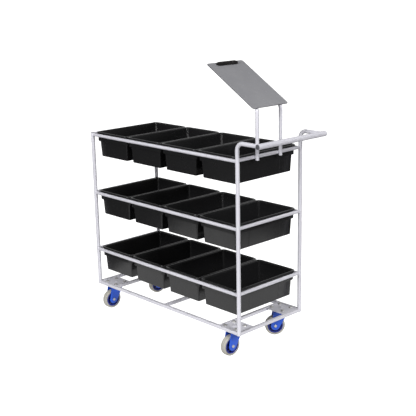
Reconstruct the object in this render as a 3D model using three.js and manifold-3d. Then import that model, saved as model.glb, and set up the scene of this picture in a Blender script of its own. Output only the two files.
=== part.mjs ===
// Order picking trolley: a tube frame on four swivel castors, three tiers of hanging tubs,
// a push bar across one end and a sloping clipboard on a bracket above it.
// Millimetres. X runs along the trolley to the push bar, Y from the front side to the rear, Z up.

import * as THREE from 'three';
import { mergeVertices } from 'three/addons/utils/BufferGeometryUtils.js';
import Module from 'manifold-3d';

const wasm = await Module();
wasm.setup();

// Frame
const frameLength = 1000;
const frameWidth = 400;
const postDiameter = 18;
const railDiameter = 15;
const tubeWall = 1.5;
const baseRailSize = 15;
const baseRailCentre = 125;
const lowTierRise = 178;
const tierRise = 295;
const tierCount = 3;
const postTopRise = 10;
const endRailRise = 4;
const crossRailInset = 123;

// Push bar
const barDiameter = 24;
const barReach = 128;
const barRise = 78;
const barOverhang = 15;
const legBendRadius = 31;

// Castors
const wheelDiameter = 95;
const tyreThickness = 11;
const wheelWidth = 27;
const castorTrail = 30;
const castorInsetX = 71;
const castorInsetY = 46;
const castorPlateLength = 92;
const castorPlateThickness = 4;
const castorPlateDrop = 2;
const raceDiameter = 52;
const raceHeight = 8;
const forkPlateThickness = 4;
const forkWebThickness = 7;
const forkNoseRadius = 21;
const forkClearance = 2;
const forkFrontReach = 38;
const forkBackReach = 32;
const kingpinDiameter = 12;
const kingpinHeadDiameter = 20;
const kingpinHeadThickness = 4;
const axleDiameter = 8;
const axleHeadDiameter = 14;
const axleHeadThickness = 4;
const hubDiscThickness = 6;
const hubBossDiameter = 24;
const tyreShoulder = 5;
const frontLeftTurnDegrees = -4;
const frontRightTurnDegrees = -4;
const rearLeftTurnDegrees = -10;
const rearRightTurnDegrees = -38;

// Tubs
const tubsPerTier = 4;
const tubEndClearance = 8.5;
const tubSpacing = 4;
const tubRimRise = 16;
const tubRimSeat = 2;
const tubWall = 2.5;
const tubRimCornerRadius = 24;
const tubSkirtDepth = 36.5;
const tubSkirtGap = 4.2;
const tubBodyTaper = 8.5;
const tubDepth = 123;
const tubFootRound = 3;
const tubRimRound = 2;

// Clipboard and its bracket
const bracketDiameter = 16;
const bracketSpacing = 146;
const bracketCentreY = 177;
const bracketTail = 9;
const bracketRise = 210;
const bracketBendRadius = 25;
const bracketReach = 250;
const boardTilt = 31.5;
const boardWidth = 220;
const boardLength = 322;
const boardThickness = 3;
const boardCornerRadius = 10;
const boardOverhang = 8;
const clipWidth = 124;
const clipPlateLength = 20;
const clipSheet = 1.2;
const clipEdgeMargin = 5;
const clipPinDiameter = 3;
const clipEarDepth = 10;
const clipJawReach = 11;
const clipTabReach = 8;
const clipTabLift = 0.5;
const clipKnuckleLength = 14;

// Clearances and facet counts
const seatGap = 0.3;
const cutOverrun = 5;
const tubeSides = 16;
const bendStepDegrees = 15;
const cornerSteps = 3;
const wheelSides = 20;
const pinSides = 12;

// Sizes that follow
const postRadius = postDiameter / 2;
const railRadius = railDiameter / 2;
const barRadius = barDiameter / 2;
const bracketRadius = bracketDiameter / 2;
const wheelRadius = wheelDiameter / 2;
const baseHalf = baseRailSize / 2;
const baseRailBottom = baseRailCentre - baseHalf;
const baseRailTop = baseRailCentre + baseHalf;
const lowTierHeight = baseRailCentre + lowTierRise;
const tierHeights = Array.from({ length: tierCount }, (_, tier) => lowTierHeight + tier * tierRise);
const topTierHeight = tierHeights[tierCount - 1];
const barHeight = topTierHeight + barRise;
const axleHeight = wheelRadius * Math.cos(Math.PI / wheelSides);
const tierNames = ['low', 'middle', 'top'];

// Finishes
function finish(color, roughness, metalness) {
  return new THREE.MeshStandardMaterial({ color, roughness, metalness });
}
const frameFinish = finish(0xc4c3ca, 0.45, 0.35);
const plateFinish = finish(0xa9a8ae, 0.5, 0.5);
const tubFinish = finish(0x1d1d1f, 0.5, 0);
const forkFinish = finish(0x2f50c4, 0.4, 0);
const hubFinish = finish(0x1a2470, 0.45, 0);
const tyreFinish = finish(0xb9b6aa, 0.8, 0);
const boltFinish = finish(0xd8d8d2, 0.3, 0.9);
const boardFinish = finish(0x939397, 0.6, 0);
const clipFinish = finish(0x1c1a1a, 0.35, 0.3);

// A closed geometry as a solid that can be joined and cut
function solidOf(geometry) {
  const bare = geometry.clone();
  bare.deleteAttribute('normal');
  bare.deleteAttribute('uv');
  const merged = mergeVertices(bare);
  return new wasm.Manifold(new wasm.Mesh({
    numProp: 3,
    vertProperties: new Float32Array(merged.attributes.position.array),
    triVerts: new Uint32Array(merged.index.array),
  }));
}

// A finished solid as a geometry
function geometryOf(solid) {
  const mesh = solid.getMesh();
  const geometry = new THREE.BufferGeometry();
  geometry.setAttribute('position', new THREE.BufferAttribute(new Float32Array(mesh.vertProperties), 3));
  geometry.setIndex(new THREE.BufferAttribute(new Uint32Array(mesh.triVerts), 1));
  geometry.computeVertexNormals();
  return geometry;
}

function part(name, geometry, material, parent) {
  const mesh = new THREE.Mesh(geometry, material);
  mesh.name = name;
  parent.add(mesh);
  return mesh;
}

// A solid round bar between two points
function rod(from, to, radius, sides = tubeSides) {
  const along = new THREE.Vector3().subVectors(to, from);
  const geometry = new THREE.CylinderGeometry(radius, radius, along.length(), sides);
  const upright = new THREE.Vector3(0, 1, 0);
  const turn = new THREE.Quaternion().setFromUnitVectors(upright, along.clone().normalize());
  geometry.applyQuaternion(turn);
  const middle = new THREE.Vector3().addVectors(from, to).multiplyScalar(0.5);
  geometry.translate(middle.x, middle.y, middle.z);
  return solidOf(geometry);
}

// A round tube between two points, with open ends
function straightTube(from, to, radius) {
  const overrun = new THREE.Vector3().subVectors(to, from).setLength(cutOverrun);
  const bore = rod(from.clone().sub(overrun), to.clone().add(overrun), radius - tubeWall);
  return rod(from, to, radius).subtract(bore);
}

// A block between two corners
function block(low, high) {
  const size = new THREE.Vector3().subVectors(high, low);
  const geometry = new THREE.BoxGeometry(size.x, size.y, size.z);
  const middle = new THREE.Vector3().addVectors(low, high).multiplyScalar(0.5);
  geometry.translate(middle.x, middle.y, middle.z);
  return solidOf(geometry);
}

// A path whose given points are its own steps, so that a swept tube bends only where it should
class StepPath extends THREE.Curve {
  constructor(points) {
    super();
    this.points = points;
    this.runs = points.length - 1;
  }

  getPoint(share, target = new THREE.Vector3()) {
    const place = share * this.runs;
    const run = Math.min(Math.floor(place), this.runs - 1);
    return target.lerpVectors(this.points[run], this.points[run + 1], place - run);
  }

  getUtoTmapping(share) {
    return share;
  }

  getTangent(share, target = new THREE.Vector3()) {
    const step = Math.round(share * this.runs);
    const before = Math.max(step - 1, 0);
    const after = Math.min(step + 1, this.runs);
    const arriving = new THREE.Vector3().subVectors(this.points[step], this.points[before]).normalize();
    const leaving = new THREE.Vector3().subVectors(this.points[after], this.points[step]).normalize();
    return target.addVectors(arriving, leaving).normalize();
  }
}

// The points of a bent tube: straight runs between corners, and an arc at each inner corner
function bentPoints(corners, radius) {
  const points = [corners[0].clone()];
  for (let i = 1; i < corners.length - 1; i += 1) {
    const arriving = new THREE.Vector3().subVectors(corners[i], corners[i - 1]).normalize();
    const leaving = new THREE.Vector3().subVectors(corners[i + 1], corners[i]).normalize();
    const angle = arriving.angleTo(leaving);
    const inward = leaving.clone().addScaledVector(arriving, -Math.cos(angle)).normalize();
    const start = corners[i].clone().addScaledVector(arriving, -radius * Math.tan(angle / 2));
    const steps = Math.ceil(THREE.MathUtils.radToDeg(angle) / bendStepDegrees);
    for (let step = 0; step <= steps; step += 1) {
      const turned = angle * step / steps;
      const point = start.clone().addScaledVector(arriving, radius * Math.sin(turned));
      points.push(point.addScaledVector(inward, radius * (1 - Math.cos(turned))));
    }
  }
  points.push(corners[corners.length - 1].clone());
  return points;
}

// A round tube bent along corners, with open ends
function bentTube(corners, bendRadius, radius) {
  const section = new THREE.Shape();
  section.absarc(0, 0, radius, 0, 2 * Math.PI);
  const bore = new THREE.Path();
  bore.absarc(0, 0, radius - tubeWall, 0, 2 * Math.PI);
  section.holes.push(bore);
  const path = new StepPath(bentPoints(corners, bendRadius));
  const geometry = new THREE.ExtrudeGeometry(section, {
    steps: path.runs,
    extrudePath: path,
    curveSegments: tubeSides / 2,
  });
  return solidOf(geometry);
}

// A closed outline in X and Y, extruded up from a height
function slab(shape, bottom, thickness) {
  const geometry = new THREE.ExtrudeGeometry(shape, {
    depth: thickness,
    bevelEnabled: false,
    curveSegments: cornerSteps,
  });
  geometry.translate(0, 0, bottom);
  return solidOf(geometry);
}

function roundedRectangle(lowX, highX, lowY, highY, radius) {
  const shape = new THREE.Shape();
  const right = Math.PI / 2;
  shape.absarc(highX - radius, lowY + radius, radius, -right, 0);
  shape.absarc(highX - radius, highY - radius, radius, 0, right);
  shape.absarc(lowX + radius, highY - radius, radius, right, 2 * right);
  shape.absarc(lowX + radius, lowY + radius, radius, 2 * right, 3 * right);
  shape.closePath();
  return shape;
}

const trolley = new THREE.Group();

// The four posts: the left pair end above the top tier, the right pair bend out as handle legs
const postPlaces = {
  front_left_post: new THREE.Vector3(0, 0, 0),
  rear_left_post: new THREE.Vector3(0, frameWidth, 0),
  front_right_post: new THREE.Vector3(frameLength, 0, 0),
  rear_right_post: new THREE.Vector3(frameLength, frameWidth, 0),
};

function raised(place, height) {
  return new THREE.Vector3(place.x, place.y, height);
}

function postCut(place) {
  return rod(raised(place, 0), raised(place, barHeight), postRadius + seatGap);
}

const barX = frameLength + barReach;
const barFrom = new THREE.Vector3(barX, -barOverhang, barHeight);
const barTo = new THREE.Vector3(barX, frameWidth + barOverhang, barHeight);

function addPosts() {
  const barCut = rod(barFrom, barTo, barRadius + seatGap);
  for (const [name, place] of Object.entries(postPlaces)) {
    const foot = raised(place, baseRailBottom);
    if (place.x === 0) {
      const tube = straightTube(foot, raised(place, topTierHeight + postTopRise), postRadius);
      part(name, geometryOf(tube), frameFinish, trolley);
      continue;
    }
    const shoulder = raised(place, barHeight);
    const legEnd = new THREE.Vector3(barX, place.y, barHeight);
    const tube = bentTube([foot, shoulder, legEnd], legBendRadius, postRadius);
    part(name, geometryOf(tube.subtract(barCut)), frameFinish, trolley);
  }
  part('push_bar', geometryOf(straightTube(barFrom, barTo, barRadius)), frameFinish, trolley);
}

// The rails of one tier, their ends shaped to the posts and to each other
function addTierRails(tierName, height) {
  const corner = {
    frontLeft: new THREE.Vector3(0, 0, height),
    frontRight: new THREE.Vector3(frameLength, 0, height),
    rearLeft: new THREE.Vector3(0, frameWidth, height),
    rearRight: new THREE.Vector3(frameLength, frameWidth, height),
  };
  const longRails = {
    front: [corner.frontLeft, corner.frontRight],
    rear: [corner.rearLeft, corner.rearRight],
  };
  const endRails = {
    left: [corner.frontLeft, corner.rearLeft],
    right: [corner.frontRight, corner.rearRight],
  };
  for (const [side, [from, to]] of Object.entries(longRails)) {
    const rail = straightTube(from, to, railRadius).subtract(postCut(from)).subtract(postCut(to));
    part(`${tierName}_${side}_rail`, geometryOf(rail), frameFinish, trolley);
  }
  const railCut = Object.values(longRails).map(([from, to]) => rod(from, to, railRadius + seatGap));
  for (const [side, [from, to]] of Object.entries(endRails)) {
    const [start, end] = [from, to].map((point) => raised(point, height + endRailRise));
    let rail = straightTube(start, end, railRadius).subtract(postCut(from)).subtract(postCut(to));
    for (const cut of railCut) {
      rail = rail.subtract(cut);
    }
    part(`${tierName}_${side}_rail`, geometryOf(rail), frameFinish, trolley);
  }
}

// A square base tube that runs along X or Y with open ends
function baseTube(low, high) {
  const alongX = high.x - low.x > high.y - low.y;
  const skinX = alongX ? -cutOverrun : tubeWall;
  const skinY = alongX ? tubeWall : -cutOverrun;
  const skin = new THREE.Vector3(skinX, skinY, tubeWall);
  return block(low, high).subtract(block(low.clone().add(skin), high.clone().sub(skin)));
}

const crossRailPlaces = {
  base_left_outer_rail: 0,
  base_left_inner_rail: crossRailInset,
  base_middle_rail: frameLength / 2,
  base_right_inner_rail: frameLength - crossRailInset,
  base_right_outer_rail: frameLength,
};

function addBaseRails() {
  const ends = {};
  for (const [name, y] of Object.entries({ base_front_rail: 0, base_rear_rail: frameWidth })) {
    ends[name] = [
      new THREE.Vector3(0, y - baseHalf, baseRailBottom),
      new THREE.Vector3(frameLength, y + baseHalf, baseRailTop),
    ];
  }
  const frontEnd = baseHalf + seatGap;
  for (const [name, x] of Object.entries(crossRailPlaces)) {
    ends[name] = [
      new THREE.Vector3(x - baseHalf, frontEnd, baseRailBottom),
      new THREE.Vector3(x + baseHalf, frameWidth - frontEnd, baseRailTop),
    ];
  }
  for (const [name, [low, high]] of Object.entries(ends)) {
    let rail = baseTube(low, high);
    for (const place of Object.values(postPlaces)) {
      rail = rail.subtract(postCut(place));
    }
    part(name, geometryOf(rail), frameFinish, trolley);
  }
}

// Castors: a fixed plate with its race and kingpin, a swivelling fork, and a wheel on an axle
const plateTop = baseRailTop - castorPlateDrop;
const plateBottom = plateTop - castorPlateThickness;
const raceBottom = plateBottom - raceHeight;
const forkTop = raceBottom - seatGap;
const forkInnerHalf = wheelWidth / 2 + forkClearance;
const forkOuterHalf = forkInnerHalf + forkPlateThickness;
const webBottom = forkTop - forkWebThickness;
const shoulderTop = baseRailBottom - forkClearance;
const raceRadius = raceDiameter / 2;
const hubRadius = wheelRadius - tyreThickness;

// The castor plate fills its corner of the base between the rails
function castorPlate(place) {
  const leftSide = place.x < frameLength / 2;
  const frontSide = place.y < frameWidth / 2;
  const outer = baseHalf + seatGap;
  const inner = crossRailInset - baseHalf - seatGap;
  const deep = outer + castorPlateLength;
  const lowX = leftSide ? outer : frameLength - inner;
  const highX = leftSide ? inner : frameLength - outer;
  const lowY = frontSide ? outer : frameWidth - deep;
  const highY = frontSide ? deep : frameWidth - outer;
  const low = new THREE.Vector3(lowX, lowY, plateBottom);
  const high = new THREE.Vector3(highX, highY, plateTop);
  const plate = block(low, high);
  const top = raised(place, plateTop);
  const headTop = raised(place, webBottom - seatGap);
  const headBottom = raised(place, webBottom - seatGap - kingpinHeadThickness);
  const race = rod(raised(place, raceBottom), top, raceRadius);
  const pin = rod(headBottom, top, kingpinDiameter / 2, pinSides);
  const head = rod(headBottom, headTop, kingpinHeadDiameter / 2, pinSides);
  return plate.add(race).add(pin).add(head);
}

// The angle at which a line from a top corner of the fork touches its nose, seen from the axle
function noseTouch(cornerReach, turnedFromCorner) {
  const across = castorTrail + cornerReach;
  const up = shoulderTop - axleHeight;
  const fromCorner = Math.acos(forkNoseRadius / Math.hypot(across, up));
  return Math.atan2(up, across) + turnedFromCorner * fromCorner;
}

// The fork's side plate: a straight top, and two edges that run down from it to a round nose about the axle
function forkSideShape() {
  const shape = new THREE.Shape();
  const frontTouch = noseTouch(-forkFrontReach, 1);
  const backTouch = noseTouch(forkBackReach, -1);
  shape.moveTo(forkBackReach, shoulderTop);
  shape.lineTo(-forkFrontReach, shoulderTop);
  shape.absarc(-castorTrail, axleHeight, forkNoseRadius, frontTouch, 2 * Math.PI + backTouch);
  shape.closePath();
  return shape;
}

function forkGeometry() {
  const upright = new THREE.Matrix4().makeBasis(
    new THREE.Vector3(0, 1, 0),
    new THREE.Vector3(0, 0, 1),
    new THREE.Vector3(1, 0, 0),
  );
  const sides = [-forkOuterHalf, forkInnerHalf].map((start) => {
    const plate = new THREE.ExtrudeGeometry(forkSideShape(), {
      depth: forkPlateThickness,
      bevelEnabled: false,
      curveSegments: pinSides / 2,
    });
    plate.applyMatrix4(upright);
    plate.translate(start, 0, 0);
    return solidOf(plate);
  });
  const webLow = new THREE.Vector3(-forkOuterHalf, -forkFrontReach, webBottom);
  const webHigh = new THREE.Vector3(forkOuterHalf, forkBackReach, shoulderTop);
  const centre = new THREE.Vector3(0, 0, 0);
  const turret = rod(raised(centre, webBottom), raised(centre, forkTop), raceRadius);
  const holeFrom = raised(centre, webBottom - cutOverrun);
  const holeTo = raised(centre, forkTop + cutOverrun);
  const hole = rod(holeFrom, holeTo, kingpinDiameter / 2 + seatGap, pinSides);
  const axleFrom = new THREE.Vector3(-forkOuterHalf - cutOverrun, -castorTrail, axleHeight);
  const axleTo = new THREE.Vector3(forkOuterHalf + cutOverrun, -castorTrail, axleHeight);
  const axleHole = rod(axleFrom, axleTo, axleDiameter / 2 + seatGap, pinSides);
  const web = block(webLow, webHigh);
  return geometryOf(sides[0].add(sides[1]).add(web).add(turret).subtract(hole).subtract(axleHole));
}

// A wheel piece turned about the axle, which lies along X, with a flat facet down
function turnedOnAxle(profile) {
  const outline = profile.map(([radius, across]) => new THREE.Vector2(radius, across));
  outline.push(outline[0].clone());
  const geometry = new THREE.LatheGeometry(outline, wheelSides);
  geometry.rotateY(Math.PI / wheelSides);
  geometry.rotateZ(-Math.PI / 2);
  geometry.translate(0, -castorTrail, axleHeight);
  return geometryOf(solidOf(geometry));
}

function hubGeometry() {
  const bore = axleDiameter / 2 + seatGap;
  const bossHalf = forkInnerHalf - seatGap;
  const rimHalf = wheelWidth / 2 - seatGap;
  const discHalf = hubDiscThickness / 2;
  const bossRadius = hubBossDiameter / 2;
  const rimInside = hubRadius - hubDiscThickness;
  return turnedOnAxle([
    [bore, -bossHalf],
    [bossRadius, -bossHalf],
    [bossRadius, -discHalf],
    [rimInside, -discHalf],
    [rimInside, -rimHalf],
    [hubRadius, -rimHalf],
    [hubRadius, rimHalf],
    [rimInside, rimHalf],
    [rimInside, discHalf],
    [bossRadius, discHalf],
    [bossRadius, bossHalf],
    [bore, bossHalf],
  ]);
}

function tyreGeometry() {
  const half = wheelWidth / 2;
  const inside = hubRadius + seatGap;
  return turnedOnAxle([
    [inside, -half],
    [wheelRadius - tyreShoulder, -half],
    [wheelRadius, -half + tyreShoulder],
    [wheelRadius, half - tyreShoulder],
    [wheelRadius - tyreShoulder, half],
    [inside, half],
  ]);
}

function axleGeometry() {
  const start = forkOuterHalf + seatGap;
  const end = start + axleHeadThickness;
  const at = (across) => new THREE.Vector3(across, -castorTrail, axleHeight);
  const shank = rod(at(-end), at(end), axleDiameter / 2, pinSides);
  const leftHead = rod(at(-end), at(-start), axleHeadDiameter / 2, pinSides);
  const rightHead = rod(at(start), at(end), axleHeadDiameter / 2, pinSides);
  return geometryOf(shank.add(leftHead).add(rightHead));
}

function addCastors() {
  const farX = frameLength - castorInsetX;
  const farY = frameWidth - castorInsetY;
  const places = [
    ['front_left', castorInsetX, castorInsetY, frontLeftTurnDegrees],
    ['front_right', farX, castorInsetY, frontRightTurnDegrees],
    ['rear_left', castorInsetX, farY, rearLeftTurnDegrees],
    ['rear_right', farX, farY, rearRightTurnDegrees],
  ];
  for (const [name, x, y, turn] of places) {
    const place = new THREE.Vector3(x, y, 0);
    part(`${name}_castor_plate`, geometryOf(castorPlate(place)), plateFinish, trolley);
    const swivel = new THREE.Group();
    swivel.position.copy(place);
    swivel.rotation.z = THREE.MathUtils.degToRad(turn);
    trolley.add(swivel);
    part(`${name}_castor_fork`, forkGeometry(), forkFinish, swivel);
    part(`${name}_castor_hub`, hubGeometry(), hubFinish, swivel);
    part(`${name}_castor_tyre`, tyreGeometry(), tyreFinish, swivel);
    part(`${name}_castor_axle`, axleGeometry(), boltFinish, swivel);
  }
}

// Tubs: a tapered body, and a rim with a skirt round it that hangs on the rails of its tier
const tubRow = frameLength - 2 * (railRadius + tubEndClearance);
const tubPitch = (tubRow + tubSpacing) / tubsPerTier;
const tubRimHalfX = (tubPitch - tubSpacing) / 2;
const tubRimHalfY = frameWidth / 2 - tubRimSeat;
const rimUnderside = Math.sqrt(railRadius ** 2 - tubRimSeat ** 2) + seatGap;
const tubRimLip = railRadius + seatGap - tubRimSeat;

// One level of a tub: its outline inset from the rim's, at a height from the rail's centre
function tubLoop(inset, height) {
  const radius = Math.max(tubRimCornerRadius - inset, tubFootRound);
  const halfX = tubRimHalfX - inset - radius;
  const halfY = tubRimHalfY - inset - radius;
  const loop = [];
  for (let corner = 0; corner < 4; corner += 1) {
    const sideX = corner === 0 || corner === 3 ? 1 : -1;
    const sideY = corner < 2 ? 1 : -1;
    for (let step = 0; step <= cornerSteps; step += 1) {
      const angle = (corner + step / cornerSteps) * Math.PI / 2;
      const x = sideX * halfX + radius * Math.cos(angle);
      const y = sideY * halfY + radius * Math.sin(angle);
      loop.push(new THREE.Vector3(x, y, height));
    }
  }
  return loop;
}

// A closed skin through loops of equal count, with a flat end at each
function skinned(loops) {
  const count = loops[0].length;
  const positions = loops.flat().flatMap((point) => [point.x, point.y, point.z]);
  const faces = [];
  for (let level = 0; level < loops.length - 1; level += 1) {
    for (let i = 0; i < count; i += 1) {
      const next = (i + 1) % count;
      const a = level * count + i;
      const b = level * count + next;
      faces.push(a, b, b + count, a, b + count, a + count);
    }
  }
  const last = (loops.length - 1) * count;
  for (let i = 1; i < count - 1; i += 1) {
    faces.push(0, i + 1, i);
    faces.push(last, last + i, last + i + 1);
  }
  const geometry = new THREE.BufferGeometry();
  geometry.setAttribute('position', new THREE.Float32BufferAttribute(positions, 3));
  geometry.setIndex(faces);
  geometry.computeVertexNormals();
  return geometry;
}

function tubGeometry() {
  const tubBottom = tubRimRise - tubDepth;
  const rimCeiling = tubRimRise - tubWall;
  const skirtFoot = rimUnderside - tubSkirtDepth;
  const skirtInside = tubRimLip + tubWall;
  const bodyTop = skirtInside + tubSkirtGap;
  const bodyFoot = bodyTop + tubBodyTaper;
  return skinned([
    tubLoop(bodyFoot + tubFootRound, tubBottom),
    tubLoop(bodyFoot, tubBottom + tubFootRound),
    tubLoop(bodyTop, rimCeiling),
    tubLoop(skirtInside, rimCeiling),
    tubLoop(skirtInside, skirtFoot),
    tubLoop(tubRimLip, skirtFoot),
    tubLoop(tubRimLip, rimUnderside),
    tubLoop(0, rimUnderside),
    tubLoop(0, tubRimRise - tubRimRound),
    tubLoop(tubRimRound, tubRimRise),
    tubLoop(bodyTop + tubWall - tubRimRound, tubRimRise),
    tubLoop(bodyTop + tubWall, tubRimRise - tubRimRound),
    tubLoop(bodyFoot + tubWall, tubBottom + tubWall),
  ]);
}

function addTubs() {
  const middle = (tubsPerTier - 1) / 2;
  tierHeights.forEach((height, tier) => {
    for (let i = 0; i < tubsPerTier; i += 1) {
      const tub = part(`${tierNames[tier]}_tub_${i + 1}`, tubGeometry(), tubFinish, trolley);
      tub.position.set(frameLength / 2 + (i - middle) * tubPitch, frameWidth / 2, height);
    }
  });
}

// The clipboard bracket: one bent tube, fixed to the outside of the top right rail
const bracketX = frameLength + railRadius + seatGap + bracketRadius;
const tilt = THREE.MathUtils.degToRad(boardTilt);

function addBracket() {
  const slope = new THREE.Vector3(-Math.cos(tilt), 0, Math.sin(tilt));
  const frontY = bracketCentreY - bracketSpacing / 2;
  const rearY = bracketCentreY + bracketSpacing / 2;
  const foot = (y) => new THREE.Vector3(bracketX, y, topTierHeight - bracketTail);
  const knee = (y) => new THREE.Vector3(bracketX, y, topTierHeight + bracketRise);
  const head = (y) => knee(y).addScaledVector(slope, bracketReach);
  const corners = [foot(frontY), knee(frontY), head(frontY), head(rearY), knee(rearY), foot(rearY)];
  const tube = bentTube(corners, bracketBendRadius, bracketRadius);
  part('clipboard_bracket', geometryOf(tube), frameFinish, trolley);
}

// The board lies on the bracket's sloping arms: X down the slope, Z out of its face
const boardUnderside = bracketRadius + seatGap;
const boardFace = boardUnderside + boardThickness;
const boardHigh = boardOverhang - boardLength;
const clipPlateLow = boardHigh + clipEdgeMargin;
const clipPinX = clipPlateLow + clipPlateLength / 2;
const clipBore = clipPinDiameter / 2 + seatGap;
const clipKnuckle = clipBore + clipSheet;
const clipPlateBottom = boardFace + seatGap;
const clipPinZ = clipPlateBottom + clipSheet + seatGap + clipKnuckle;

function addBoard(desk) {
  const half = boardWidth / 2;
  const shape = roundedRectangle(boardHigh, boardOverhang, -half, half, boardCornerRadius);
  part('clipboard_board', geometryOf(slab(shape, boardUnderside, boardThickness)), boardFinish, desk);
}

// The clip's plate is screwed to the board, and its two ears hold the hinge pin
function addClipPlate(desk) {
  const half = clipWidth / 2;
  const plate = block(
    new THREE.Vector3(clipPlateLow, -half, clipPlateBottom),
    new THREE.Vector3(clipPinX + clipEarDepth / 2, half, clipPlateBottom + clipSheet),
  );
  const earTop = clipPinZ + clipPinDiameter;
  const ears = [-half, half - clipSheet].map((y) => block(
    new THREE.Vector3(clipPinX - clipEarDepth / 2, y, clipPlateBottom),
    new THREE.Vector3(clipPinX + clipEarDepth / 2, y + clipSheet, earTop),
  ));
  const pin = rod(
    new THREE.Vector3(clipPinX, -half + clipSheet / 2, clipPinZ),
    new THREE.Vector3(clipPinX, half - clipSheet / 2, clipPinZ),
    clipPinDiameter / 2,
    pinSides,
  );
  part('clip_plate', geometryOf(plate.add(ears[0]).add(ears[1]).add(pin)), clipFinish, desk);
}

// The clip's lever: two knuckles round the pin, a jaw down to the paper and a thumb tab behind
function addClipLever(desk) {
  const half = clipWidth / 2 - clipSheet - seatGap;
  const at = (y) => new THREE.Vector3(clipPinX, y, clipPinZ);
  const shape = new THREE.Shape();
  const jawTip = clipPinX + clipJawReach;
  const tabTip = clipPinX - clipTabReach;
  const crown = clipPinZ + clipKnuckle;
  shape.moveTo(jawTip, clipPlateBottom);
  shape.lineTo(jawTip, clipPlateBottom + clipSheet);
  shape.lineTo(clipPinX + clipKnuckle / 2, crown);
  shape.lineTo(tabTip, crown + clipTabLift + clipSheet);
  shape.lineTo(tabTip, crown + clipTabLift);
  shape.lineTo(clipPinX - clipKnuckle / 2, crown - clipSheet);
  shape.lineTo(clipPinX + clipKnuckle / 2, crown - clipSheet);
  shape.lineTo(jawTip - clipSheet, clipPlateBottom);
  shape.closePath();
  const sheet = new THREE.ExtrudeGeometry(shape, { depth: 2 * half, bevelEnabled: false });
  sheet.rotateX(Math.PI / 2);
  sheet.translate(0, half, 0);
  let lever = solidOf(sheet);
  for (const side of [-1, 1]) {
    const outerEnd = side * half;
    const innerEnd = side * (half - clipKnuckleLength);
    lever = lever.add(rod(at(outerEnd), at(innerEnd), clipKnuckle, pinSides));
  }
  const pinBore = rod(at(-half - cutOverrun), at(half + cutOverrun), clipBore, pinSides);
  part('clip_lever', geometryOf(lever.subtract(pinBore)), clipFinish, desk);
}

function addClipboard() {
  const desk = new THREE.Group();
  desk.position.set(bracketX, bracketCentreY, topTierHeight + bracketRise);
  desk.rotation.y = tilt;
  trolley.add(desk);
  addBoard(desk);
  addClipPlate(desk);
  addClipLever(desk);
}

addPosts();
tierHeights.forEach((height, tier) => addTierRails(tierNames[tier], height));
addBaseRails();
addCastors();
addTubs();
addBracket();
addClipboard();

// The origin is on the floor, under the middle of the whole trolley
trolley.updateMatrixWorld(true);
const extent = new THREE.Box3().setFromObject(trolley, true);
const centre = extent.getCenter(new THREE.Vector3());
trolley.position.set(-centre.x, -centre.y, -extent.min.z);

export default trolley;
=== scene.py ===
import math

import bmesh
import bpy
import numpy as np
from mathutils import Matrix, Vector


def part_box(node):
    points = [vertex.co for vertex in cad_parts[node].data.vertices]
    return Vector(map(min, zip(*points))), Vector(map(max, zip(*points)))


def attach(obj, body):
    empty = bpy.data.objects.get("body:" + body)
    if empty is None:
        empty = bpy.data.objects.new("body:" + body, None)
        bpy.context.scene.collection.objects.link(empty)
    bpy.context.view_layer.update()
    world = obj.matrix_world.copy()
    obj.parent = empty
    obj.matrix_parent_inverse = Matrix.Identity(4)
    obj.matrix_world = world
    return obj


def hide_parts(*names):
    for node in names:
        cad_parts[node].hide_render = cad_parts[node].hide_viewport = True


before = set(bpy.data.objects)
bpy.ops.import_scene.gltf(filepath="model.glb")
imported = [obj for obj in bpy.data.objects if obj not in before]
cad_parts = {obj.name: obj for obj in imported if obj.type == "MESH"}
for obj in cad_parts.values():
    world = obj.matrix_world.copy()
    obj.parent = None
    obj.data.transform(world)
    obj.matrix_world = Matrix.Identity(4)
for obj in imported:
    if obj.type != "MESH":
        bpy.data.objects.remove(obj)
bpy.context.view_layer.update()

# Posts. The two at the left end are straight and plugged; the two at the right end bend out as handle legs.
# Round steel tube, 18 mm across, bent cold and powder coated in silver grey after welding.
POST_FACETS = 48
POST_WALL = 0.0015
LEG_BEND = 0.031
LEG_WELD = 0.002
BEND_FACETS = 18
END_SHARE = 0.9
WELD_RIPPLE = 0.0014
WELD_FACETS = 8
RIPPLE_SHARE = 0.14
UNEVEN_SHARE = 0.1
UNEVEN_WAVES = 3
PLUG_DEPTH = 0.004
PLUG_LIP = 0.0012
PLUG_FLANGE = 0.0012
PLUG_DOME = 0.0006
MERGE_WITHIN = 1e-6
SHARP_OVER = math.radians(38)
X, Y, Z = np.eye(3)


def middle(node):
    """The middle of a CAD node's box."""
    low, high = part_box(node)
    return (np.array(low) + np.array(high)) / 2


def reach(node):
    """The lowest and highest corner of a CAD node's box."""
    low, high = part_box(node)
    return np.array(low), np.array(high)


def half_size(node):
    """Half the size of a CAD node's box along each axis."""
    low, high = reach(node)
    return (high - low) / 2


def unit(vectors):
    """Each vector divided by its own length."""
    return vectors / np.linalg.norm(vectors, axis=-1, keepdims=True)


def circle(radius, count=POST_FACETS):
    """A closed ring: radius times the cosine and sine of an angle that goes once round."""
    angle = np.linspace(0, 2 * np.pi, count + 1)
    return radius * np.stack([np.cos(angle), np.sin(angle)], axis=1)


def bent_path(corners, radius, count=BEND_FACETS):
    """Straight runs joined by arcs. An arc starts radius times tan(half the turn) before its corner.

    Its points are start + radius * (sin a * arriving + (1 - cos a) * inward), a from 0 to the turn.
    """
    corners = np.array(corners, float)
    points = [corners[:1]]
    radii = np.broadcast_to(radius, len(corners) - 2)
    for before, corner, after, radius in zip(corners, corners[1:], corners[2:], radii):
        arriving, leaving = unit(corner - before), unit(after - corner)
        turn = math.acos(np.clip(arriving @ leaving, -1, 1))
        inward = unit(leaving - (arriving @ leaving) * arriving)
        a = np.linspace(0, turn, count + 1)[:, None]
        start = corner - radius * math.tan(turn / 2) * arriving
        points.append(start + radius * (np.sin(a) * arriving + (1 - np.cos(a)) * inward))
    points.append(corners[-1:])
    return np.concatenate(points)


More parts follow.
